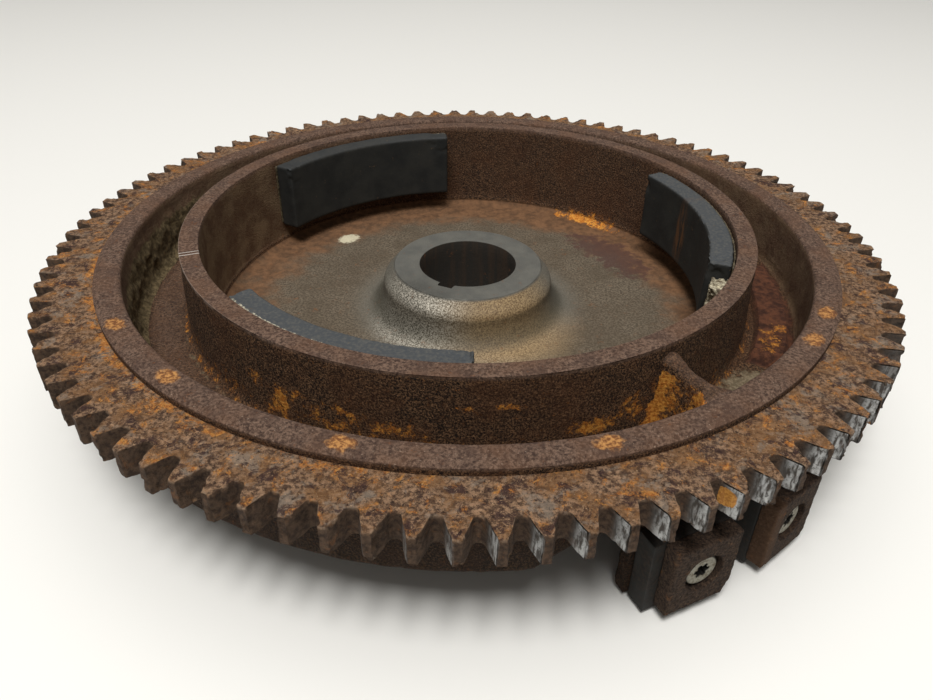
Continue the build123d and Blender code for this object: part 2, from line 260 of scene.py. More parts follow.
def fade(value, low, high):
    """1 below low, 0 above high, and a smooth step between them."""
    return smooth(-value, -high, -low)


def between(value, limits):
    """Whether each value lies between a low and a high limit."""
    low, high = limits
    return (value > low) & (value < high)


def turn(azimuth, middle):
    """How far each azimuth is from a middle one, in degrees from -180 to 180."""
    return (azimuth - middle + 180) % 360 - 180


def near(azimuth, other, place, size):
    """1 at an (azimuth, other) place and 0 beyond size, given as (degrees, millimetres)."""
    across = turn(azimuth, place[0]) / size[0]
    along = (other - place[1]) / size[1]
    return fade(np.hypot(across, along), 0.2, 1)


def polar(points):
    """Radius, azimuth and height of points, in millimetres and degrees."""
    x, y, z = (points[..., axis] / MM for axis in range(3))
    return np.hypot(x, y), np.degrees(np.arctan2(y, x)) % 360, z


def cartesian(radius, azimuth, z):
    """Points in metres from radius, azimuth and height."""
    angle = np.radians(azimuth)
    places = np.broadcast_arrays(radius * np.cos(angle), radius * np.sin(angle), z)
    return np.stack(places, -1) * MM


def noise_at(points, size, seed, octaves=3):
    """Smooth noise from about -1 to 1, with bumps of about that many millimetres."""
    shift = Vector((seed * 13.7, seed * 7.9, seed * 3.1))
    flat = (points / (size * MM)).reshape(-1, 3)
    values = [noise.fractal(Vector(point) + shift, 1.0, 2.0, octaves) for point in flat]
    return np.clip(np.array(values).reshape(points.shape[:-1]) * 1.6, -1, 1)


# ---------------- making meshes


def grid_faces(columns, rows):
    """Quads of a grid that closes on itself both ways, facing outwards."""
    corner = np.arange(columns * rows).reshape(columns, rows)
    up = np.roll(corner, -1, axis=1)
    right = np.roll(corner, -1, axis=0)
    opposite = np.roll(up, -1, axis=0)
    return np.stack([corner, up, opposite, right], -1).reshape(-1, 4)


def grid_normals(points):
    """Outward unit normals of such a grid's points."""
    along = np.roll(points, -1, axis=0) - np.roll(points, 1, axis=0)
    across = np.roll(points, -1, axis=1) - np.roll(points, 1, axis=1)
    normals = np.cross(across, along)
    return normals / np.maximum(np.linalg.norm(normals, axis=-1, keepdims=True), 1e-12)


def add_object(name, data):
    """An object of a mesh, light or camera, linked into the scene."""
    made = bpy.data.objects.new(name, data)
    bpy.context.scene.collection.objects.link(made)
    return made


def grid_object(name, points):
    """An object from a grid of points in metres that closes on itself both ways."""
    mesh = bpy.data.meshes.new(name)
    faces = grid_faces(*points.shape[:2])
    mesh.from_pydata(points.reshape(-1, 3).tolist(), [], faces.tolist())
    return add_object(name, mesh)


def vectors_of(elements, key):
    """One vector for each element of a mesh's collection."""
    flat = np.zeros(len(elements) * 3, np.float32)
    elements.foreach_get(key, flat)
    return flat.reshape(-1, 3).astype(float)


def points_of(piece):
    """The mesh's points, in metres."""
    return vectors_of(piece.data.vertices, "co")


def normals_of(piece):
    """The mesh's unit normals at its points."""
    return vectors_of(piece.data.vertex_normals, "vector")


def move_points(piece, points):
    """Puts the mesh's points in new places."""
    piece.data.vertices.foreach_set("co", points.astype(np.float32).ravel())
    piece.data.update()


def apply_modifiers(piece):
    """Makes the piece's modifiers part of its mesh."""
    depsgraph = bpy.context.evaluated_depsgraph_get()
    mesh = bpy.data.meshes.new_from_object(piece.evaluated_get(depsgraph))
    piece.modifiers.clear()
    piece.data = mesh


def remesh(piece, voxel):
    """Gives the piece an even, closed skin with faces of about voxel millimetres."""
    modifier = piece.modifiers.new("skin", "REMESH")
    modifier.mode = "VOXEL"
    modifier.voxel_size = voxel * MM
    apply_modifiers(piece)


def smooth_skin(piece, times):
    """Rounds the piece's edges a little."""
    modifier = piece.modifiers.new("round", "SMOOTH")
    modifier.iterations = times
    apply_modifiers(piece)


def combine(piece, tools, operation):
    """Adds or cuts other objects to or from the piece, and removes them."""
    for tool in tools:
        modifier = piece.modifiers.new(tool.name, "BOOLEAN")
        modifier.operation = operation
        modifier.object = tool
        modifier.solver = "EXACT"
    apply_modifiers(piece)
    for tool in tools:
        bpy.data.objects.remove(tool)


def roughen(piece, depth, size, seed, hollow=0.0):
    """Wears the surface down by up to depth millimetres of noise, and by hollow at each point."""
    points = points_of(piece)
    worn = depth * (0.5 - 0.5 * noise_at(points, size, seed, octaves=2)) + hollow
    move_points(piece, points - normals_of(piece) * worn[:, None] * MM)


def store(piece, **masks):
    """Keeps a number for each point, or one for them all, for the piece's material to read."""
    count = len(piece.data.vertices)
    for name, values in masks.items():
        layer = piece.data.attributes.new(name, "FLOAT", "POINT")
        shares = np.broadcast_to(np.clip(values, 0, 1), count)
        layer.data.foreach_set("value", shares.astype(np.float32))


def finish_piece(piece, material, slot, *nodes):
    """Shades a piece, gives it its material, hangs it from the root body and hides the CAD nodes it
    stands for.
    """
    piece.data.shade_smooth()
    piece.data.set_sharp_from_angle(angle=SHARP_ANGLE)
    piece.data.materials.clear()
    piece.data.materials.append(material)
    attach(piece, "root")
    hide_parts(*nodes)


def facing(azimuth, distance, z):
    """A frame whose Z points outwards at an azimuth, with Y up and X across."""
    angle = radians(azimuth)
    across = Vector((-sin(angle), cos(angle), 0))
    outwards = Vector((cos(angle), sin(angle), 0))
    turned = Matrix((across, Vector((0, 0, 1)), outwards)).transposed().to_4x4()
    return Matrix.Translation((outwards * distance + Vector((0, 0, z))) * MM) @ turned


def prism(name, outline, low, high, place):
    """A closed prism of an (across, up) outline in millimetres, from low to high along place's Z."""
    count = len(outline)
    ends = [(x * MM, y * MM, z * MM) for z in (low, high) for x, y in outline]
    shape = bmesh.new()
    corners = [shape.verts.new(place @ Vector(point)) for point in ends]
    shape.faces.new(corners[:count])
    shape.faces.new(corners[count:])
    for i in range(count):
        j = (i + 1) % count
        shape.faces.new([corners[i], corners[j], corners[count + j], corners[count + i]])
    bmesh.ops.recalc_face_normals(shape, faces=shape.faces)
    mesh = bpy.data.meshes.new(name)
    shape.to_mesh(mesh)
    shape.free()
    return add_object(name, mesh)


def circle(radius, count=32):
    """The corners of a round outline."""
    return [(radius * cos(2 * pi * i / count), radius * sin(2 * pi * i / count)) for i in range(count)]


def worn_copy(node, name, voxel):
    """An evenly meshed copy of a CAD node, ready to be worn down."""
    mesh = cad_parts[node].data.copy()
    shape = bmesh.new()
    shape.from_mesh(mesh)
    bmesh.ops.remove_doubles(shape, verts=shape.verts, dist=0.001 * MM)
    shape.to_mesh(mesh)
    shape.free()
    piece = add_object(name, mesh)
    remesh(piece, voxel)
    return piece


# ---------------- node materials


def linear_colour(colour):
    """A display colour from 0 to 255 as the linear colour that shaders take. A node's is kept."""
    if isinstance(colour, bpy.types.NodeSocket):
        return colour
    share = np.array(colour) / 255
    linear = np.where(share <= 0.04045, share / 12.92, ((share + 0.055) / 1.055) ** 2.4)
    return (*linear.tolist(), 1.0)


class Shader:
    """A node material, built up by short calls. Sizes are in millimetres, colours 0 to 255."""

    def __init__(self, name):
        self.material = bpy.data.materials.new(name)
        self.material.use_nodes = True
        self.tree = self.material.node_tree
        self.surface = self.tree.nodes["Principled BSDF"]
        self.place = self.tree.nodes.new("ShaderNodeTexCoord").outputs["Object"]

    def node(self, kind, inputs, **settings):
        """A node with its settings, and its inputs linked or set."""
        made = self.tree.nodes.new(kind)
        for key, value in settings.items():
            setattr(made, key, value)
        for key, value in inputs.items():
            self.put(made.inputs[key], value)
        return made

    def put(self, socket, value):
        """Links a socket to another node's output, or sets its value."""
        if isinstance(value, bpy.types.NodeSocket):
            self.tree.links.new(value, socket)
        else:
            socket.default_value = value

    def noise(self, size, detail=4.0, roughness=0.6, distortion=0.0):
        """Noise from 0 to 1 with features of about that size."""
        inputs = {"Vector": self.place, "Scale": 1 / (size * MM), "Detail": detail}
        inputs |= {"Roughness": roughness, "Distortion": distortion}
        return self.node("ShaderNodeTexNoise", inputs).outputs["Fac"]

    def streaks(self, width, length):
        """Noise from 0 to 1 drawn out along Z."""
        scale = (1, 1, width / length)
        place = self.node("ShaderNodeMapping", {"Vector": self.place, "Scale": scale})
        inputs = {"Vector": place.outputs["Vector"], "Scale": 1 / (width * MM), "Detail": 3.0}
        return self.node("ShaderNodeTexNoise", inputs).outputs["Fac"]

    def mask(self, value, low, high, most=1.0):
        """0 up to low and most beyond high, smooth between them. High may be the smaller number."""
        inputs = {"Value": value, "From Min": low, "From Max": high, "To Max": most}
        made = self.node("ShaderNodeMapRange", inputs, interpolation_type="SMOOTHSTEP")
        return made.outputs["Result"]

    def math(self, operation, first, second):
        """One sum on two numbers."""
        return self.node("ShaderNodeMath", {0: first, 1: second}, operation=operation).outputs[0]

    def times(self, first, second):
        """The product of two numbers."""
        return self.math("MULTIPLY", first, second)

    def mix(self, share, first, second):
        """The first colour where share is 0 and the second where it is 1."""
        made = self.node("ShaderNodeMix", {"Factor": share}, data_type="RGBA")
        self.put(made.inputs[6], linear_colour(first))
        self.put(made.inputs[7], linear_colour(second))
        return made.outputs[2]

    def patches(self, colour, other, size, span, most=1.0, **settings):
        """A colour with patches of another, where noise of that size rises through a span."""
        return self.mix(self.mask(self.noise(size, **settings), *span, most), colour, other)

    def stored(self, name, most=1.0):
        """A number kept on the mesh's points by store(), times most."""
        value = self.node("ShaderNodeAttribute", {}, attribute_name=name).outputs["Fac"]
        return value if most == 1 else self.times(value, most)

    def frayed(self, name, rough, low, high, most=1.0):
        """A stored number with its edge broken up by another number."""
        return self.mask(self.math("ADD", self.stored(name), rough), low, high, most)

    def scratch(self, azimuth, offset, width):
        """1 on a line that runs outwards at an azimuth, offset sideways by that many millimetres."""
        across = (-sin(radians(azimuth)), cos(radians(azimuth)), 0)
        product = self.node("ShaderNodeVectorMath", {0: self.place, 1: across}, operation="DOT_PRODUCT")
        inputs = {0: product.outputs["Value"], 1: offset * MM, 2: width / 2 * MM}
        return self.node("ShaderNodeMath", inputs, operation="COMPARE").outputs[0]

    def upward(self):
        """1 on faces that look up, 0 on upright ones."""
        normal = self.node("ShaderNodeNewGeometry", {}).outputs["Normal"]
        height = self.node("ShaderNodeSeparateXYZ", {"Vector": normal}).outputs["Z"]
        return self.mask(height, 0.3, 0.9)

    def bump(self, height, depth, below=None):
        """A bump of depth millimetres for a height from 0 to 1, on top of another bump."""
        inputs = {"Height": height, "Distance": depth * MM, "Strength": 1.0}
        if below is not None:
            inputs["Normal"] = below
        return self.node("ShaderNodeBump", inputs).outputs["Normal"]

    def finish(self, **sockets):
        """Sets the surface's sockets, written with _ for a space, and returns the material."""
        for name, value in sockets.items():
            self.put(self.surface.inputs[name.replace("_", " ")], value)
        return self.material


# What several materials share: the colour of clean glue, and how glossy rust is
CREAM = (198, 188, 160)
RUST_GLOSS = 0.22


def cast_colour(m):
    """The granular skin of the rough casting, with small flecks of orange."""
    dark, light = (24, 17, 12), (140, 104, 74)
    colour = m.patches(dark, light, 0.45, (0.44, 0.62), detail=5, roughness=0.8)
    colour = m.patches(colour, (44, 29, 20), 3, (0.5, 0.66), 0.5, detail=6, roughness=0.7)
    colour = m.patches(colour, (92, 56, 32), 15, (0.4, 0.7), 0.4, detail=5)
    return m.patches(colour, (158, 96, 42), 1.0, (0.61, 0.67), 0.7, detail=6, roughness=0.8)


def machined_colour(m):
    """Turned faces of the casting, browned, pitted and finely speckled."""
    dark, light = (62, 46, 38), (122, 98, 82)
    colour = m.patches(dark, light, 0.8, (0.38, 0.62), detail=5, roughness=0.75)
    colour = m.patches(colour, (104, 74, 54), 13, (0.4, 0.66), 0.5, detail=6)
    colour = m.patches(colour, (72, 55, 47), 6, (0.45, 0.66), 0.6, detail=6, roughness=0.7)
    colour = m.patches(colour, (50, 36, 30), 1.2, (0.56, 0.64), 0.8, detail=6, roughness=0.8)
    return m.patches(colour, (164, 144, 126), 0.5, (0.64, 0.72), 0.7, detail=3)


def pocket_colour(m):
    """The grey pocket floor, tan further out and purple at the right."""
    dark, light = (74, 65, 53), (112, 100, 84)
    colour = m.patches(dark, light, 0.7, (0.38, 0.62), roughness=0.7)
    colour = m.patches(colour, (78, 67, 53), 9, (0.35, 0.7), 0.6, detail=6)
    warm = m.patches((90, 66, 47), (124, 90, 63), 2.6, (0.3, 0.7), detail=6)
    rough = m.mask(m.noise(8, detail=6), 0.2, 0.8, 0.5)
    colour = m.mix(m.frayed("tan", rough, 0.35, 1.05), colour, warm)
    rough = m.mask(m.noise(3.4, detail=6, roughness=0.7), 0.2, 0.8)
    return m.mix(m.frayed("purple", rough, 0.95, 1.35, 0.75), colour, (78, 54, 48))


def hub_colour(m, floor):
    """The hub: smooth face, silver and gold flank with painted highlight, painted shade at foot and
    bore.
    """
    grain = m.noise(0.45, roughness=0.7)
    light_grain = m.mask(grain, 0.38, 0.62)
    flank = m.mix(light_grain, (92, 88, 78), (116, 112, 102))
    colour = m.mix(m.stored("shine"), floor, flank)
    gold = m.mix(light_grain, (112, 88, 60), (174, 146, 104))
    colour = m.mix(m.stored("golden", 0.8), colour, gold)
    # Painted highlight and glints: bright silver specks on the bare flank and the floor in front.
    sparkle = m.times(m.stored("silver"), m.mask(grain, 0.4, 0.62))
    colour = m.mix(sparkle, colour, (204, 196, 180))
    # Painted shade in the concave crease at the hub's foot.
    colour = m.mix(m.stored("foot"), colour, (60, 57, 46))
    face = m.patches((86, 85, 80), (99, 97, 90), 7, (0.3, 0.7))
    colour = m.mix(m.stored("face"), colour, face)
    # Painted shade: the bore is darkened down its walls, with streaks.
    soot = m.mix(m.mask(m.streaks(3, 30), 0.4, 0.65), (46, 42, 37), (60, 48, 38))
    return m.mix(m.stored("soot"), colour, soot)


def soiled_colour(m, colour, fine, grain):
    """A colour with painted shade under the rim, the pad's red rust, caked dirt and dust over it."""
    # Painted shade: the rim's outside and underside are darkened where shade falls.
    colour = m.mix(m.stored("grime", 0.7), colour, (34, 25, 18))
    pad = m.mix(m.mask(fine, 0.35, 0.65), (66, 41, 31), (112, 70, 49))
    colour = m.mix(m.stored("pad"), colour, pad)
    dirt = m.patches((82, 69, 47), (132, 114, 82), 1.5, (0.36, 0.68), detail=5)
    caked = m.frayed("dirt", m.mask(fine, 0.2, 0.8, 0.6), 0.55, 0.85)
    colour = m.mix(caked, colour, dirt)
    dust = m.mix(m.mask(grain, 0.4, 0.62), (122, 108, 84), (158, 142, 114))
    dusty = m.frayed("dust", m.mask(fine, 0.3, 0.7, 0.5), 0.6, 1.0, 0.85)
    return m.mix(dusty, colour, dust)


def orange_bloom(m, colour, grain):
    """Orange rust over a colour, with a brown rim round each bloom, and faded spots on the land."""
    rough = m.mask(m.noise(3.0, detail=8, roughness=0.85), 0.3, 0.7)
    orange = m.mix(m.mask(grain, 0.42, 0.6), (192, 116, 42), (228, 160, 70))
    colour = m.mix(m.frayed("orange", rough, 0.8, 1.0, 0.6), colour, (120, 74, 40))
    colour = m.mix(m.frayed("orange", rough, 0.95, 1.15, 0.9), colour, orange)
    rough = m.mask(m.noise(2.0, detail=6, roughness=0.75), 0.2, 0.8, 0.6)
    faded = m.mix(m.mask(grain, 0.4, 0.62), (124, 78, 44), (198, 142, 80))
    return m.mix(m.frayed("spot", rough, 0.85, 1.2, 0.85), colour, faded)


def light_marks(m, colour, fine, grain):
    """The collar's rubbed edge with its painted highlight, its two scratches and the cream spot in the
    pocket.
    """
    # Worn edge and painted highlight along the collar's outer edge.
    colour = m.mix(m.stored("edge", 0.5), colour, (168, 152, 138))
    wide, thin = m.scratch(SCRATCH_AZIMUTH, 0.6, 0.28), m.scratch(SCRATCH_AZIMUTH, -0.9, 0.22)
    lines = m.times(m.math("MAXIMUM", wide, thin), m.frayed("marked", fine, 0.9, 1.1))
    colour = m.mix(lines, colour, (206, 198, 188))
    return m.mix(m.frayed("cream", grain, 0.85, 1.25), colour, CREAM)


def casting_material():
    """Rusted cast iron with machined faces, a bare pocket, orange bloom and caked dirt."""
    m = Shader("rusted_cast_iron")
    fine = m.noise(2.4, detail=6, roughness=0.65)
    grain = m.noise(0.8, detail=3)
    colour = m.mix(m.stored("machined"), cast_colour(m), machined_colour(m))
    brown, sandy = (96, 70, 48), (132, 108, 80)
    stain = m.patches(brown, sandy, 8, (0.36, 0.64), detail=6, roughness=0.7)
    # Tan on the side walls: partly stain, partly painted light where the walls fall in shade.
    colour = m.mix(m.stored("stained", 0.75), colour, stain)
    colour = m.mix(m.stored("bare"), colour, hub_colour(m, pocket_colour(m)))
    colour = soiled_colour(m, colour, fine, grain)
    colour = orange_bloom(m, colour, grain)
    colour = light_marks(m, colour, fine, grain)
    smoothness = m.math("MAXIMUM", m.stored("machined", 0.7), m.stored("bare"))
    coarseness = m.math("SUBTRACT", 1.1, smoothness)
    coarse = m.times(m.noise(0.6, roughness=0.7), coarseness)
    return m.finish(
        Base_Color=colour,
        Roughness=m.math("SUBTRACT", 0.9, m.stored("shine", 0.4)),
        Metallic=m.stored("silver", 0.5),
        Specular_IOR_Level=RUST_GLOSS,
        Normal=m.bump(coarse, 0.9, m.bump(fine, 0.2)),
    )


def gear_top_colour(m, grit):
    """Mottled scale: brown with yellow-brown, grey, purple-black and orange patches, all gritty."""
    dark, light = (78, 57, 43), (160, 127, 98)
    colour = m.patches(dark, light, 1.4, (0.42, 0.6), detail=6, roughness=0.75)
    ochre, grey, purple = (130, 92, 56), (140, 128, 114), (58, 38, 36)
    colour = m.patches(colour, ochre, 9, (0.44, 0.6), 0.65, detail=6, roughness=0.65)
    colour = m.patches(colour, grey, 6, (0.53, 0.62), 0.6, detail=7, roughness=0.74, distortion=0.4)
    colour = m.patches(colour, purple, 5, (0.53, 0.58), 0.85, detail=8, roughness=0.8, distortion=0.5)
    rough = m.noise(4.5, detail=8, roughness=0.8, distortion=0.4)
    orange = m.mix(m.mask(grit, 0.4, 0.6), (172, 100, 42), (204, 144, 72))
    colour = m.mix(m.frayed("orange", rough, 0.54, 0.63, 0.9), colour, orange)
    colour = m.patches(colour, (36, 25, 20), 1.1, (0.55, 0.6), 0.9, detail=7, roughness=0.85)
    colour = m.mix(m.mask(grit, 0.6, 0.68, 0.7), colour, (196, 162, 126))
    return m.mix(m.mask(grit, 0.42, 0.32, 0.5), colour, (58, 42, 34))


def tooth_colour(m, top, patch):
    """The gear's top colour with browner flanks, and rubbed edges with a painted highlight."""
    flank = m.patches((58, 45, 36), (94, 74, 58), 1.2, (0.34, 0.66), detail=5)
    flank = m.mix(m.mask(patch, 0.56, 0.68, 0.6), flank, (126, 84, 50))
    colour = m.mix(m.stored("flank"), top, flank)
    # Worn edges and a painted highlight along the teeth's rounded edges.
    rubbed = m.times(m.stored("rim"), m.mask(m.noise(1.6, detail=5), 0.42, 0.6, 0.7))
    return m.mix(rubbed, colour, (166, 142, 118))


def gear_material():
    """A heavily rusted steel ring gear, with teeth worn bright on one flank."""
    m = Shader("rusted_gear_steel")
    grit = m.noise(0.6, roughness=0.75)
    patch = m.noise(3.6, detail=7, roughness=0.76, distortion=0.5)
    colour = tooth_colour(m, gear_top_colour(m, grit), patch)
    used = m.stored("used")
    colour = m.mix(m.times(used, 0.75), colour, (62, 60, 57))
    bright = m.times(m.mask(m.streaks(0.8, 3.2), 0.36, 0.6), m.mask(grit, 0.3, 0.5))
    worn = m.times(m.stored("worn"), bright)
    colour = m.mix(worn, colour, (182, 182, 180))
    chip = m.mix(m.mask(grit, 0.4, 0.6), (160, 104, 44), (196, 140, 66))
    colour = m.mix(m.frayed("chip", m.times(patch, 0.6), 0.6, 0.75), colour, chip)
    rusty = m.math("SUBTRACT", 1.0, used)
    scale = m.bump(m.times(patch, rusty), 0.9)
    return m.finish(
        Base_Color=colour,
        Roughness=m.math("SUBTRACT", 0.88, m.times(used, 0.35)),
        Metallic=m.times(worn, 0.5),
        Specular_IOR_Level=RUST_GLOSS,
        Normal=m.bump(m.times(grit, rusty), 0.5, scale),
    )


def ferrite_material():
    """Charcoal ceramic magnet, dusted lighter on top, with rust stains and glue in its seam."""
    m = Shader("charcoal_ferrite")
    cloud = m.noise(7, detail=5)
    fine = m.noise(0.8)
    body = m.mix(m.mask(cloud, 0.3, 0.7), (31, 32, 31), (44, 43, 39))
    dust = m.mix(m.mask(fine, 0.4, 0.7), (78, 82, 86), (104, 103, 99))
    colour = m.mix(m.times(m.upward(), m.stored("dust")), body, dust)
    colour = m.patches(colour, (96, 76, 54), 2.2, (0.62, 0.7), 0.6, detail=6, roughness=0.75)
    colour = m.patches(colour, (150, 140, 120), 1.2, (0.7, 0.74), 0.7, detail=5, roughness=0.8)
    stain = m.times(m.stored("stain"), m.mask(m.streaks(1.6, 8), 0.35, 0.6))
    colour = m.mix(stain, colour, (112, 74, 42))
    rusty = m.mix(m.mask(fine, 0.4, 0.65), (22, 18, 15), (52, 38, 28))
    colour = m.mix(m.frayed("rusty", cloud, 1.0, 1.4, 0.85), colour, rusty)
    colour = m.mix(m.frayed("seam", fine, 1.2, 1.4), colour, (176, 168, 146))
    return m.finish(
        Base_Color=colour,
        Roughness=m.mask(cloud, -0.8, 1.1),
        Specular_IOR_Level=0.35,
        Normal=m.bump(fine, 0.05),
    )


def glue_material():
    """Hardened epoxy: dirty olive in the seams, cream where it was squeezed out."""
    m = Shader("cream_epoxy")
    fine = m.noise(1.1, detail=6, roughness=0.7)
    dirty = m.mix(m.mask(fine, 0.4, 0.6), (64, 56, 42), (112, 100, 76))
    clean = m.mix(m.mask(fine, 0.42, 0.6), (92, 78, 58), CREAM)
    return m.finish(
        Base_Color=m.mix(m.stored("cream"), dirty, clean),
        Roughness=m.mask(fine, -0.2, 1.2),
        Normal=m.bump(fine, 0.4),
    )


def pole_material():
    """Granular dark rust on the pole shoes."""
    m = Shader("granular_pole_steel")
    fine = m.noise(0.7, detail=5, roughness=0.75)
    colour = m.mix(m.mask(fine, 0.38, 0.62), (32, 24, 19), (74, 58, 46))
    colour = m.patches(colour, (120, 82, 50), 4, (0.58, 0.7), 0.6, detail=6, roughness=0.7)
    colour = m.patches(colour, (146, 124, 104), 0.5, (0.66, 0.74), 0.7, detail=3)
    colour = m.mix(m.stored("tan"), colour, (96, 68, 46))
    return m.finish(
        Base_Color=colour,
        Roughness=m.mask(fine, -1.6, 0.8),
        Specular_IOR_Level=RUST_GLOSS,
        Normal=m.bump(fine, 0.5),
    )


def zinc_material(azimuth):
    """Dull zinc plating on the pole screw at an azimuth, with painted shade deep in its socket."""
    m = Shader("dull_zinc")
    fine = m.noise(0.9, detail=5)
    colour = m.mix(m.mask(fine, 0.4, 0.7), (170, 166, 150), (122, 110, 88))
    outwards = (cos(radians(azimuth)), sin(radians(azimuth)), 0)
    along = m.node("ShaderNodeVectorMath", {0: m.place, 1: outwards}, operation="DOT_PRODUCT")
    socket_floor = SCREW_FACE_D - SOCKET_DEPTH
    # Painted shade: the socket is darkened below the head's face.
    sunk = m.mask(along.outputs["Value"], SCREW_FACE_D * MM, socket_floor * MM)
    colour = m.mix(sunk, colour, (28, 25, 21))
    return m.finish(
        Base_Color=colour,
        Roughness=m.mask(fine, -0.6, 1.4),
        Metallic=0.4,
        Normal=m.bump(fine, 0.05),
    )


# ---------------- the casting


def rounded_outline(corners):
    """Radius, z and texture depth of closely spaced points round a closed outline of corners."""
    rows = []
    count = len(corners)
    for i, (radius, z, fillet, _, texture) in enumerate(corners):
        here = np.array([radius, z])
        back = np.array(corners[i - 1][:2]) - here
        ahead = np.array(corners[(i + 1) % count][:2]) - here
        arc = corner_arc(here, back, ahead, fillet)
        rows += [(*point, min(texture, corners[i - 1][4])) for point in arc[:-1]]
        rows.append((*arc[-1], texture))
    return space_out(np.array(rows), corners)


def corner_arc(here, back, ahead, fillet):
    """The points that round one corner, or the corner itself."""
    if fillet == 0:
        return [here]
    back = back / np.linalg.norm(back)
    ahead = ahead / np.linalg.norm(ahead)
    half = acos(np.clip(back @ ahead, -1, 1)) / 2
    middle = (back + ahead) / np.linalg.norm(back + ahead)
    centre = here + middle * fillet / sin(half)
    start = here + back * fillet / tan(half) - centre
    end = here + ahead * fillet / tan(half) - centre
    sweep = pi - 2 * half
    steps = max(2, int(np.ceil(fillet * sweep / ARC_STEP)))
    shares = np.linspace(0, 1, steps + 1)
    return [centre + (start * sin((1 - s) * sweep) + end * sin(s * sweep)) / sin(sweep) for s in shares]


def space_out(rows, corners):
    """Adds points along the straight runs, at the spacing that each run's corner gives."""
    places = np.array([corner[:2] for corner in corners])
    spaced = []
    for row, following in zip(rows, np.roll(rows, -1, axis=0)):
        length = np.linalg.norm(following[:2] - row[:2])
        nearest = np.argmin(np.linalg.norm(places - row[:2], axis=1))
        steps = max(1, round(length / corners[nearest][3]))
        spaced += [row + (following - row) * step / steps for step in range(steps)]
    return np.array(spaced)


def cut_keyway(radius, azimuth):
    """Moves the bore's wall out to the keyway's floor and sides."""
    offset = np.radians(np.abs(turn(azimuth, KEYWAY_AZIMUTH)))
    floor = KEYWAY_FLOOR_D / np.cos(offset)
    side = KEYWAY_HALF_WIDTH / np.maximum(np.sin(offset), 1e-6)
    slot = np.where(offset < pi / 4, np.minimum(floor, side), 0)
    return np.where(radius < KEYWAY_REACH_R, np.maximum(radius, slot), radius)


def cut_recess(radius, azimuth, z):
    """Moves the rim in where the pole stacks sit, and spreads its rows down the new wall."""
    offset = np.abs(turn(azimuth, sum(STACK_AZIMUTHS) / 2))
    share = np.interp(offset, RECESS_ANGLES, (1, 0))
    inner = np.where(z[0] < 0, RECESS_R, GEAR_SEAT_R + LEVEL_MARGIN)
    rim = (z[0] < GEAR_Z[0] + LEVEL_MARGIN) & (radius[0] > inner)
    wall = np.linspace(GEAR_Z[0], RIM_BOTTOM_Z, rim.sum())
    radius[:, rim] += share * (RECESS_R - radius[:, rim])
    z[:, rim] += share * (wall - z[:, rim])
    return radius, z


def added_height(points, radius, azimuth, z):
    """How far the balance pad, the caked dirt and the cream lump stand up, in millimetres."""
    lumps = noise_at(points, 3.4, 4, octaves=4)
    height = PAD_HEIGHT * pad_mask(radius, azimuth) * between(z, CHANNEL_Z)
    height = height + dirt_mask(radius, azimuth, z) * (DIRT_HEIGHT + DIRT_ROUGHNESS * lumps)
    return height + lump_mask(radius, azimuth, z) * (LUMP_HEIGHT + LUMP_ROUGHNESS * lumps)


def pad_mask(radius, azimuth):
    """1 on the balance pad, with short slopes at its sides and ends."""
    span = fade(np.abs(turn(azimuth, PAD_AZIMUTH)), *PAD_HALF_SPAN)
    return span * fade(np.abs(radius - PAD_R), *PAD_HALF_WIDTH)


def dirt_mask(radius, azimuth, z):
    """Where dirt is caked: the outer wall and corner of the channel, most of it at the left."""
    left = fade(np.abs(turn(azimuth, LEFT_DIRT_AZIMUTH)), 20, 32)
    right = fade(np.abs(turn(azimuth, RIGHT_DIRT_AZIMUTH)), 8, 16) * fade(z, -6, -2)
    wall = between(radius, DIRT_R) * fade(z, 3, 9.5) * (z > CHANNEL_Z[0])
    return np.maximum(left, 0.6 * right) * wall


def lump_mask(radius, azimuth, z):
    """1 on the small cream lump in the pocket, with a slope round it."""
    middle_azimuth, middle_radius = LUMP_PLACE
    across = turn(azimuth, middle_azimuth) * LUMP_MM_PER_DEGREE
    along = (radius - middle_radius) * LUMP_SQUASH
    return fade(np.hypot(across, along), *LUMP_R) * between(z, LUMP_Z)


def casting_body():
    """The round body of the casting as a grid, with its cut-outs and cast texture."""
    radius, z, texture = rounded_outline(CASTING_OUTLINE).T
    azimuth = np.arange(CASTING_COLUMNS)[:, None] * 360 / CASTING_COLUMNS
    radius = cut_keyway(radius, azimuth)
    radius, z = cut_recess(radius, azimuth, np.tile(z, (CASTING_COLUMNS, 1)))
    points = cartesian(radius, azimuth, z)
    normals = grid_normals(points)
    grain = 0.6 * noise_at(points, 2.6, 1) + 0.4 * noise_at(points, 9, 2)
    height = added_height(points, radius, azimuth, z) - texture * (0.5 - 0.5 * grain)
    return grid_object("casting", points + normals * height[..., None] * MM)


def casting_rib():
    """The rib across the channel, wider at the rim and higher at the collar."""
    place = facing(RIB_AZIMUTH, 0, RIB_TOP_Z)
    rib = prism("rib", RIB_SECTION, *RIB_D, place)
    remesh(rib, 0.6)
    across, _, outwards = np.array(place.to_3x3()).T
    points = points_of(rib)
    along = points @ outwards / MM
    flare = RIB_RIM_FLARE * smooth(along, 94.4, 98.8) + RIB_COLLAR_FLARE * fade(along, 83, 88)
    points += np.outer(points @ across * flare, across)
    points[:, 2] += RIB_CLIMB * fade(along, 83, 91) * MM
    move_points(rib, points)
    smooth_skin(rib, 12)
    roughen(rib, 0.3, 2.6, 5)
    return rib


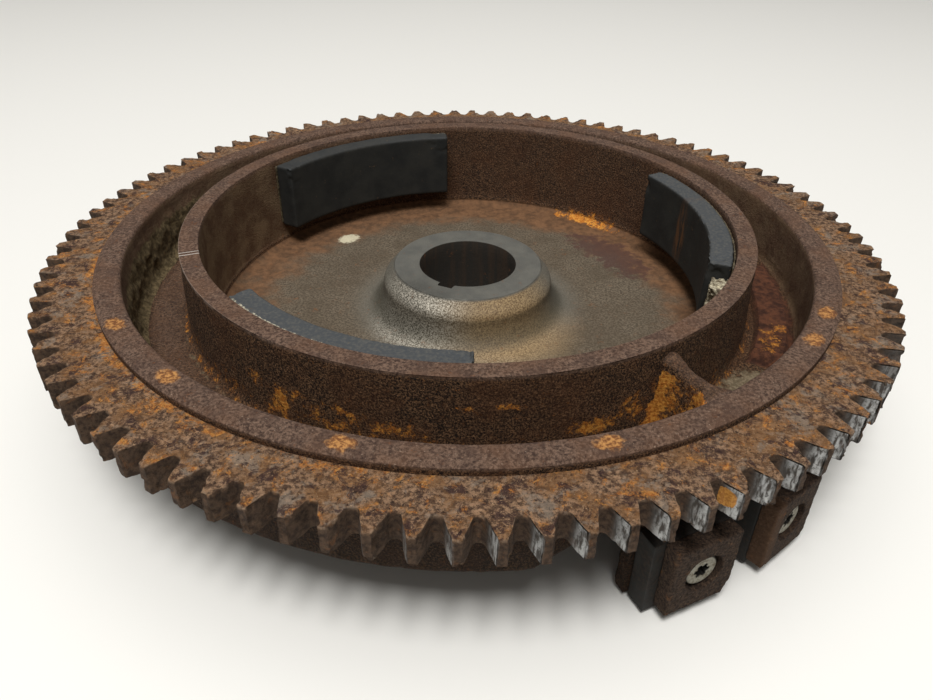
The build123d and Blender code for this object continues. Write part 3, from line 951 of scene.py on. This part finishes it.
def casting_lug():
    """The lug that carries both pole stacks, with the bosses that hold their screws."""
    low, high = LUG_Z
    half = LUG_HALF_WIDTH
    flat = [(-half, low), (half, low), (half, high), (-half, high)]
    parts = []
    for azimuth in STACK_AZIMUTHS:
        parts.append(prism("flat", flat, *LUG_D, facing(azimuth, 0, 0)))
        parts.append(prism("boss", circle(LUG_BOSS_R), *LUG_BOSS_D, facing(azimuth, 0, SCREW_Z)))
    lug = parts.pop(0)
    combine(lug, parts, "UNION")
    remesh(lug, 0.7)
    roughen(lug, 0.3, 2.6, 6)
    return lug


def casting_masks(casting):
    """Stores where the casting is bare, machined, stained, dirty or orange."""
    radius, azimuth, z = polar(points_of(casting))
    up = normals_of(casting)[:, 2]
    pocket = (radius < 77.6) & between(z, POCKET_Z) & (up > 0.05)
    bore = (radius < 17.6) & (z < -0.2)
    land = (z > 11.4) & (radius > RIM_WALL_R)
    collar_top = (z > 16.4) & (radius > 77)
    store_hub(casting, radius, azimuth, z, bore, pocket)
    store_turned(casting, radius, azimuth, z, up, land | collar_top | bore)
    store_marks(casting, radius, azimuth, z, collar_top)
    store_soil(casting, radius, azimuth, z)
    store(casting, orange=orange_mask(radius, azimuth, z), spot=spot_mask(radius, azimuth) * land)
    store(casting, cream=near(azimuth, radius, *CREAM_PATCH) * pocket)


def store_hub(casting, radius, azimuth, z, bore, pocket):
    """Stores bare pocket, hub and bore, silver with painted highlight, gold, painted shade at foot and
    bore.
    """
    hub = (radius < 48) & (z > -14.6) & ~bore
    face = (radius < 22.9) & (z > -0.5) & ~bore
    # Bare metal with a painted highlight on the flank and painted glints on the floor in front.
    silver = near(azimuth, radius, *HUB_SILVER) * hub
    silver = silver + near(azimuth, radius, *FLOOR_SILVER) * pocket
    shine = fade(radius, 27, 40) * hub
    # The bore is marked for painted shade.
    store(casting, bare=pocket | bore | hub, soot=bore, face=face, shine=shine, silver=silver)
    # Painted shade round the concave fillet at the hub's foot.
    foot = 0.6 * fade(np.abs(radius - HUB_FOOT_R), 0.2, 4.2) * between(z, HUB_FOOT_Z)
    store(casting, golden=near(azimuth, radius, *HUB_GOLD) * hub, foot=foot)


def store_turned(casting, radius, azimuth, z, up, level):
    """Stores how machined the casting looks, and where its side walls get lighter tan, partly painted
    light.
    """
    collar_wall = (np.abs(radius - COLLAR_IN_R) < WALL_DEPTH) & between(z, COLLAR_WALL_Z)
    rim_wall = (np.abs(radius - RIM_WALL_R) < WALL_DEPTH) & (z < RIM_WALL_TOP_Z)
    # Lighter tan on the side walls: partly stain, partly painted light where the walls fall in shade.
    stained = collar_wall * near(azimuth, z, *COLLAR_STAIN)
    for stain in RIM_WALL_STAINS:
        stained = stained + 0.7 * (rim_wall & (z > -5)) * near(azimuth, z, *stain)
    walls = 0.25 * collar_wall + 0.5 * stained + 0.5 * (rim_wall & (z > -2))
    channel = 0.6 * near(azimuth, radius, *SMOOTH_CHANNEL) * between(z, CHANNEL_Z)
    rib_top = 0.5 * (np.abs(turn(azimuth, RIB_AZIMUTH)) < 4) * smooth(up, 0.3, 0.8) * (z > 9)
    turned = level | (radius < 23) & (z > -0.6) | (z < -29.2)
    store(casting, machined=np.maximum(turned, channel + rib_top + walls), stained=stained)


def store_marks(casting, radius, azimuth, z, collar_top):
    """Stores the balance pad, the collar's rubbed edge with its painted highlight, and its scratches.
    """
    pad = (np.abs(turn(azimuth, PAD_AZIMUTH)) < 17.9) & (np.abs(radius - PAD_R) < 5.2)
    pad = pad & (z < -1) & between(z, CHANNEL_Z)
    # Worn edge with a painted highlight on the collar's outer rounding.
    edge = collar_top * (radius > 83.2) * near(azimuth, z, *COLLAR_EDGE_WEAR)
    store(casting, pad=pad, edge=edge, marked=collar_top * near(azimuth, z, *SCRATCHES))


def store_soil(casting, radius, azimuth, z):
    """Stores painted shade under the rim, the tan and purple of the pocket, and the channel's dirt and
    dust.
    """
    # Painted shade on the rim's outside and underside and on the web below.
    store(casting, grime=(radius > 86) & (z < 2.3) & ((radius > 99.5) | (z < -8)))
    tan_floor = smooth(radius, 50, 74) + 0.5 * near(azimuth, radius, *FLOOR_TAN)
    back = smooth(np.cos(np.radians(azimuth - 90)), -0.4, 0.8)
    purple = near(azimuth, radius, *FLOOR_PURPLE)
    store(casting, tan=tan_floor * (0.55 + 0.45 * back), purple=purple)
    channel = between(z, CHANNEL_Z)
    olive_floor = near(azimuth, radius, *CHANNEL_DUST) * channel
    foot_line = 0.4 * near(azimuth, radius, *COLLAR_FOOT_DUST) * (z < -3) * channel
    store(casting, dirt=dirt_mask(radius, azimuth, z), dust=np.maximum(olive_floor, foot_line))


def spot_mask(radius, azimuth):
    """The round rust spots on the land."""
    return sum(near(azimuth, radius, spot, LAND_SPOT_SIZE) for spot in LAND_SPOTS)


def orange_mask(radius, azimuth, z):
    """Where orange rust blooms: the channel's walls, the rib, the pocket's edge and the pad."""
    wall = between(radius, COLLAR_OUTER_R) & between(z, COLLAR_OUTER_Z)
    bloom = 0.8 * near(azimuth, z, *RIB_FOOT_ORANGE) * wall
    for middle, height, half_width, half_height, strength in COLLAR_BLOOMS:
        bloom = bloom + strength * wall * near(azimuth, z, (middle, height), (half_width, half_height))
    bloom = bloom + 0.3 * wall * fade(z, -6, 5)
    along_rib = turn(azimuth, RIB_AZIMUTH)
    rib = (np.abs(along_rib) < 4) & between(radius, (84, 98.5)) & between(z, (-5, 11))
    rib_ends = smooth(np.abs(radius - 91), 1, 5)
    bloom = bloom + rib * np.where(along_rib < 0, 0.42 + 0.34 * rib_ends, 0.1)
    bloom = bloom + 0.7 * near(azimuth, radius, *FLOOR_ORANGE) * between(z, (-15, -9))
    return bloom + 0.42 * near(azimuth, radius, *PAD_ORANGE) * between(z, CHANNEL_Z)


def make_casting():
    """The iron casting: its round body with the rib and lug joined on and the tapped holes cut."""
    casting = casting_body()
    combine(casting, [casting_rib(), casting_lug()], "UNION")
    holes = []
    for azimuth in CUP_BOLT_AZIMUTHS:
        x, y = (CUP_BOLT_CIRCLE_R * f(radians(azimuth)) * MM for f in (cos, sin))
        place = Matrix.Translation((x, y, 0))
        holes.append(prism("hole", circle(CUP_BOLT_R), *CUP_BOLT_Z, place))
    combine(casting, holes, "DIFFERENCE")
    casting_masks(casting)
    finish_piece(casting, casting_material(), "cast_iron", "flywheel_casting")


# ---------------- the ring gear


def involute(angle):
    """The involute function of a pressure angle."""
    return tan(angle) - angle


def tooth_half_angle(radius):
    """Half of a tooth's angular thickness at a radius."""
    at_pitch = pi / (2 * TOOTH_COUNT) - TOOTH_THINNING / (2 * PITCH_R)
    return at_pitch + involute(PRESSURE_ANGLE) - involute(acos(PITCH_R * cos(PRESSURE_ANGLE) / radius))


def tooth_outline():
    """One tooth from gap to gap as x (across) and radius, evenly spaced along its outline."""
    radii = np.linspace(FLANK_FOOT_R, TIP_R, FLANK_POINTS)
    halves = np.degrees([tooth_half_angle(radius) for radius in radii])
    gap = 180 / TOOTH_COUNT
    root = gap - ROOT_FLAT_SHARE * (gap - halves[0])
    angles = np.array([-gap, -root, *-halves, *halves[::-1], root, gap])
    lengths = np.array([ROOT_R, ROOT_R, *radii, *radii[::-1], ROOT_R, ROOT_R])
    step = np.hypot(np.diff(angles) * radians(1) * lengths[1:], np.diff(lengths))
    travelled = np.concatenate([[0], np.cumsum(step)])
    even = np.linspace(0, travelled[-1], COLUMNS_PER_TOOTH + 1)[:-1]
    return np.interp(even, travelled, angles), np.interp(even, travelled, lengths)


def gear_rows():
    """Each row's share of the way out and its height: across the top, down the edge and back."""
    low, high = GEAR_Z
    top = [(share, high) for share in np.linspace(0, 1, GEAR_TOP_ROWS)]
    side = [(1, z) for z in np.linspace(high - GEAR_EDGE, low + GEAR_EDGE, GEAR_SIDE_ROWS)]
    bottom = [(share, low) for share in np.linspace(1, 0, GEAR_BOTTOM_ROWS)]
    return np.array(top + side + bottom)


def make_gear():
    """The ring gear, with rounded edges, pitted faces and worn flanks."""
    angles, lengths = tooth_outline()
    teeth = FIRST_TOOTH_AZIMUTH + np.arange(TOOTH_COUNT) * 360 / TOOTH_COUNT
    azimuth = (teeth[:, None] + angles[None, :]).reshape(-1, 1)
    outer = np.tile(lengths, TOOTH_COUNT)[:, None]
    share, z = gear_rows().T[:, None, :]
    edge = GEAR_EDGE * ((share == 1) & ((z == GEAR_Z[0]) | (z == GEAR_Z[1])))
    radius = GEAR_SEAT_R + (outer - GEAR_SEAT_R) * share - edge
    points = cartesian(radius, azimuth, z)
    normals = grid_normals(points)
    pits = 0.16 * (0.5 - 0.5 * noise_at(points, 2.2, 11))
    hollows = 0.14 * smooth(noise_at(points, 5, 12), 0.1, 0.6)
    chips = 0.5 * smooth(noise_at(points, 3.2, 13), 0.35, 0.8) * smooth(radius, 117, 121)
    worn = (pits + hollows + chips) * (share > 0)
    gear = grid_object("ring_gear_teeth", points - normals * worn[..., None] * MM)
    gear_masks(gear)
    finish_piece(gear, gear_material(), "gear_steel", "ring_gear")


def gear_masks(gear):
    """Stores where the gear has flanks, bright wear, rubbed edges with painted highlight, orange rust
    and a chip.
    """
    radius, azimuth, z = polar(points_of(gear))
    normals = normals_of(gear)
    up = normals[:, 2]
    angle = np.radians(azimuth)
    around = -np.sin(angle) * normals[:, 0] + np.cos(angle) * normals[:, 1]
    beyond = turn(azimuth, STRUCK_AZIMUTH)
    flank = fade(up, 0.2, 0.6) * (radius > 114)
    struck = smooth(beyond, -38, -18) * fade(beyond, 24, 56)
    used = struck * fade(around, -0.75, -0.45) * smooth(radius, 116.5, 118.5) * flank
    worn = used * smooth(radius, 117.6, 120) * fade(beyond, 24, 38)
    # The rounded edges, which are worn and carry a painted highlight.
    rim = smooth(up, 0.3, 0.5) * fade(up, 0.8, 0.93) * (radius > 114.5)
    towards_groove = np.cos(np.radians(azimuth - GROOVE_RUST_AZIMUTH))
    groove = 0.08 * fade(radius, 107, 110) * smooth(towards_groove, 0.6, 0.95)
    store(gear, flank=flank, used=used, worn=worn, rim=rim, orange=groove)
    store(gear, chip=near(azimuth, z, *TOOTH_CHIP) * (radius > 117) * (around < -0.3))


# ---------------- magnets, glue and pole stacks


def make_rotor_magnets(material):
    """The three arc magnets, chipped at the upper corners of their ends."""
    for number in (1, 2, 3):
        node = f"rotor_magnet_{number}"
        magnet = worn_copy(node, f"arc_magnet_{number}", 0.5)
        roughen(magnet, 0.08, 6, 30 + number, magnet_chips(magnet, 20 + number))
        radius, azimuth, z = polar(points_of(magnet))
        seam = 0.8 * smooth(radius, 75.8, 76.4) * (z > MAGNET_TOP_Z) * (number == 3)
        store(magnet, stain=0.8 * near(azimuth, z, *MAGNET_STAIN), seam=seam)
        store(magnet, dust=MAGNET_DUST[number], rusty=0)
        finish_piece(magnet, material, "ferrite", node)


def magnet_chips(magnet, seed):
    """How deep a magnet is chipped at each point, in millimetres."""
    points = points_of(magnet)
    middle = polar(points.mean(axis=0))[1]
    _, azimuth, z = polar(points)
    end = smooth(np.abs(turn(azimuth, middle)), 19, 26.4)
    patchy = smooth(noise_at(points, 5, seed), 0.15, 0.7)
    return 0.7 * end * patchy * smooth(z, 8, MAGNET_TOP_Z)


def make_glue(material):
    """The glue beds and the lump at the first magnet's end."""
    for number in (1, 2, 3):
        node = f"magnet_adhesive_{number}"
        glue = worn_copy(node, f"glue_{number}", 0.35)
        roughen(glue, 0.25, 2.5, 40 + number, squeezed_pits(glue))
        radius, _, z = polar(points_of(glue))
        store(glue, cream=np.where(radius < 77, 1, 0.5 * (number == 3) * (z > 14)))
        finish_piece(glue, material, "adhesive", node)


def squeezed_pits(glue):
    """How deep the squeezed-out glue is pitted between its lumps, in millimetres."""
    points = points_of(glue)
    pitted = smooth(noise_at(points, 2.4, 45, octaves=2), -0.3, 0.7)
    return 1.3 * pitted * (polar(points)[0] < 76.8)


def make_pole_stacks(ferrite, steel):
    """The two stacks under the ring gear: ceramic block, steel shoe and screw."""
    for number, stack_azimuth in enumerate(STACK_AZIMUTHS, start=1):
        block = worn_copy(f"ignition_magnet_{number}", f"ceramic_block_{number}", 0.4)
        roughen(block, 0.1, 4, 50 + number)
        store(block, dust=0, rusty=0.7, seam=0, stain=0)
        finish_piece(block, ferrite, "ferrite", f"ignition_magnet_{number}")
        shoe = worn_copy(f"pole_shoe_{number}", f"shoe_{number}", 0.3)
        roughen(shoe, 0.14, 1.1, 60 + number)
        left_side = smooth(turn(stack_azimuth, polar(points_of(shoe))[1]), 2.4, 3.2)
        store(shoe, tan=0.4 * left_side * (number == 2))
        finish_piece(shoe, steel, "pole_steel", f"pole_shoe_{number}")
        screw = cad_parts[f"pole_screw_{number}"]
        screw.data.materials.clear()
        screw.data.materials.append(zinc_material(stack_azimuth))


# ---------------- stage, light and camera


def add_floor():
    """A plain pale floor under the part."""
    bpy.ops.mesh.primitive_plane_add(size=FLOOR_SIZE, location=(0, 0, cad_box[0].z))
    floor = bpy.context.object
    m = Shader("pale_floor")
    floor.name = "floor"
    floor.data.materials.append(m.finish(Base_Color=linear_colour(FLOOR_COLOUR), Roughness=0.7))


def add_softbox(name, place, size, power):
    """A square soft light aimed at the part."""
    light = bpy.data.lights.new(name, "AREA")
    light.size = size
    light.energy = power
    box = add_object(name, light)
    box.location = place
    box.rotation_euler = (-Vector(place)).to_track_quat("-Z", "Y").to_euler()


def add_light():
    """A soft light above the front of the part, a larger one overhead, and pale surroundings."""
    world = bpy.data.worlds.new("room")
    world.use_nodes = True
    background = world.node_tree.nodes["Background"]
    background.inputs["Color"].default_value = ROOM_COLOUR
    background.inputs["Strength"].default_value = ROOM_STRENGTH
    bpy.context.scene.world = world
    for name, place, size, power in SOFTBOXES:
        add_softbox(name, place, size, power)


def add_camera():
    """The camera, standing over the front of the part."""
    data = bpy.data.cameras.new("camera")
    data.lens = CAMERA_LENS
    data.clip_start = 0.01
    camera = add_object("camera", data)
    turned = (
        Matrix.Rotation(radians(CAMERA_YAW), 4, "Z")
        @ Matrix.Rotation(radians(90 - CAMERA_PITCH), 4, "X")
        @ Matrix.Rotation(radians(CAMERA_ROLL), 4, "Z")
    )
    camera.matrix_world = Matrix.Translation(Vector(CAMERA_PLACE) * MM) @ turned
    bpy.context.scene.camera = camera


make_casting()
make_gear()
ferrite = ferrite_material()
make_rotor_magnets(ferrite)
make_glue(glue_material())
make_pole_stacks(ferrite, pole_material())
add_floor()
add_light()
add_camera()
bpy.context.scene.view_settings.view_transform = "Standard"
